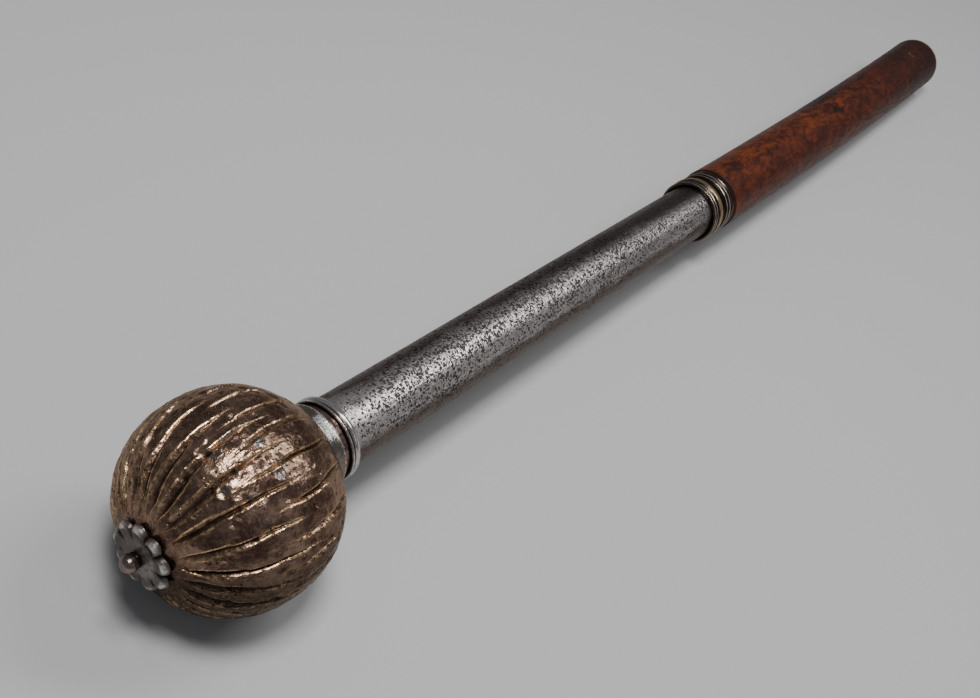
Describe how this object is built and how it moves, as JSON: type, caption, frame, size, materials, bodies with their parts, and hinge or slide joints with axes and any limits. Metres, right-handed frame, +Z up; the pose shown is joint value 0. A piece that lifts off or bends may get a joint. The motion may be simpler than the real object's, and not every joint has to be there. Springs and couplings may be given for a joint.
{
  "type": "ceremonial mace",
  "caption": "Ceremonial mace lying at rest: a ribbed metal head with a short neck, a flower washer and rivet, a round steel haft with turned beads, a beaded ferrule and a burl wood grip",
  "frame": {"origin": "on the floor, under the middle of the bounding box", "axes": "+X runs along the lying mace from the head to the grip's end, +Y is to the left when looking along +X, +Z is up from the floor"},
  "size_m": [0.6442, 0.0684, 0.068],
  "materials": {
    "head_metal": "brown patina with golden worn edges, satin",
    "washer_iron": "dark worn iron, satin",
    "rivet_iron": "brown steel with a bright worn crown",
    "haft_steel": "polished grey with dark pits",
    "ferrule_steel": "turned, dark in the grooves, warm on the beads",
    "grip_wood": "waxed burl, satin"
  },
  "bodies": {
    "root": {"ribbed_head": "head_metal", "flower_washer": "washer_iron", "end_rivet": "rivet_iron", "steel_haft": "haft_steel", "grip_ferrule": "ferrule_steel", "wood_grip": "grip_wood"}
  },
  "joints": []
}
